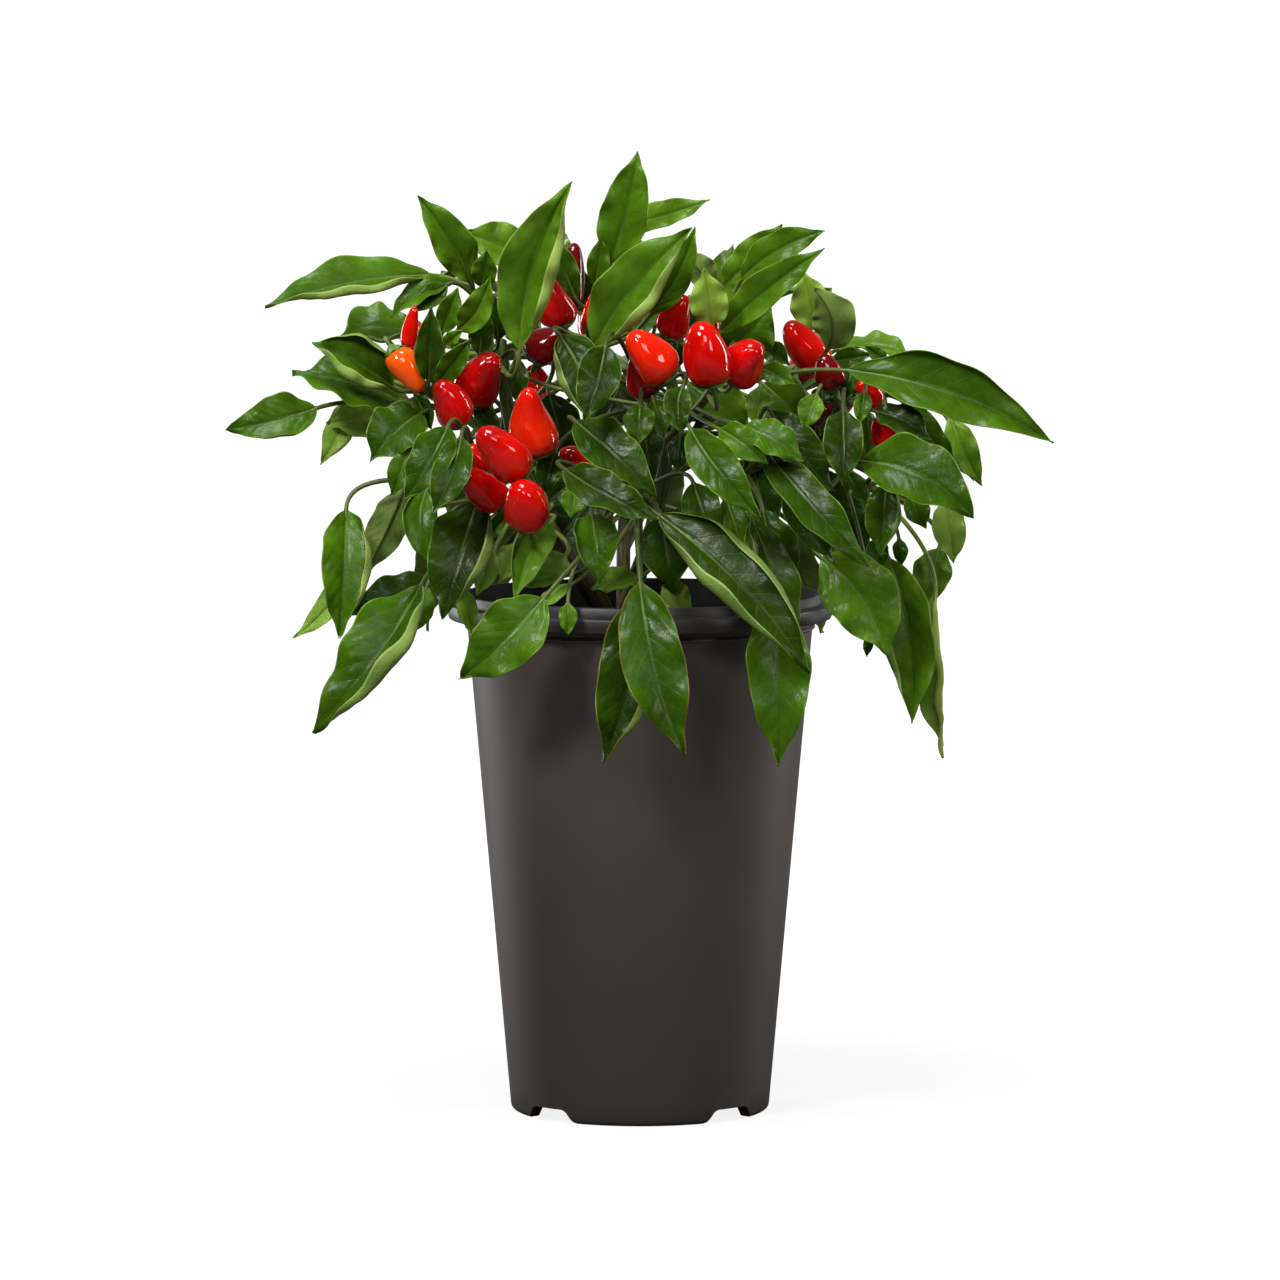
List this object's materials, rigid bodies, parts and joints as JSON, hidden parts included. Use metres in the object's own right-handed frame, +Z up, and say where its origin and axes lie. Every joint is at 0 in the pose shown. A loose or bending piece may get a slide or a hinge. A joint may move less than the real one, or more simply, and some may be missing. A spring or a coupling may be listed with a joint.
{
  "type": "potted chilli pepper plant",
  "caption": "Bushy ornamental chilli pepper plant with upright red fruits, growing in a tall round nursery pot with a rolled rim and notched feet.",
  "frame": {"origin": "on the ground under the pot's axis", "axes": "+Z up; the front of the plant, as it was pictured, faces -Y; +X to its right"},
  "size_m": [0.3049, 0.2326, 0.3606],
  "materials": {
    "pot": "warm dark grey moulded polypropylene, satin",
    "soil": "damp dark peat potting soil, crumbly; fabric stands for its low density",
    "stem": "green stem with purple-brown streaks, half woody",
    "foliage": "glossy green leaf above, pale matt green below; leather stands for a supple leaf",
    "fruit": "glossy red fruit skin, some with an orange flush; rubber stands for firm flesh"
  },
  "bodies": {
    "root": {"fruit_01": "fruit", "fruit_02": "fruit", "fruit_03": "fruit", "fruit_04": "fruit", "fruit_05": "fruit", "fruit_06": "fruit", "fruit_07": "fruit", "fruit_08": "fruit", "fruit_09": "fruit", "fruit_10": "fruit", "fruit_11": "fruit", "fruit_12": "fruit", "fruit_13": "fruit", "fruit_14": "fruit", "fruit_15": "fruit", "fruit_16": "fruit", "fruit_17": "fruit", "fruit_18": "fruit", "fruit_19": "fruit", "fruit_20": "fruit", "fruit_21": "fruit", "fruit_22": "fruit", "fruit_23": "fruit", "fruit_24": "fruit", "fruit_25": "fruit", "fruit_27": "fruit", "fruit_28": "fruit", "fruit_29": "fruit", "fruit_30": "fruit", "fruit_31": "fruit", "fruit_32": "fruit", "fruit_33": "fruit", "fruit_34": "fruit", "fruit_35": "fruit", "leafy_stem_back": "foliage", "leafy_stem_back_left": "foliage", "leafy_stem_back_low": "foliage", "leafy_stem_back_right": "foliage", "leafy_stem_centre": "foliage", "leafy_stem_front": "foliage", "leafy_stem_front_right": "foliage", "leafy_stem_inner": "foliage", "leafy_stem_left_far": "foliage", "leafy_stem_left_low": "foliage", "leafy_stem_left_top": "foliage", "leafy_stem_right_far": "foliage", "leafy_stem_right_low": "foliage", "leafy_stem_right_top": "foliage", "leafy_stem_top": "foliage", "main_stem": "stem", "pot": "pot", "soil": "soil"}
  },
  "joints": []
}
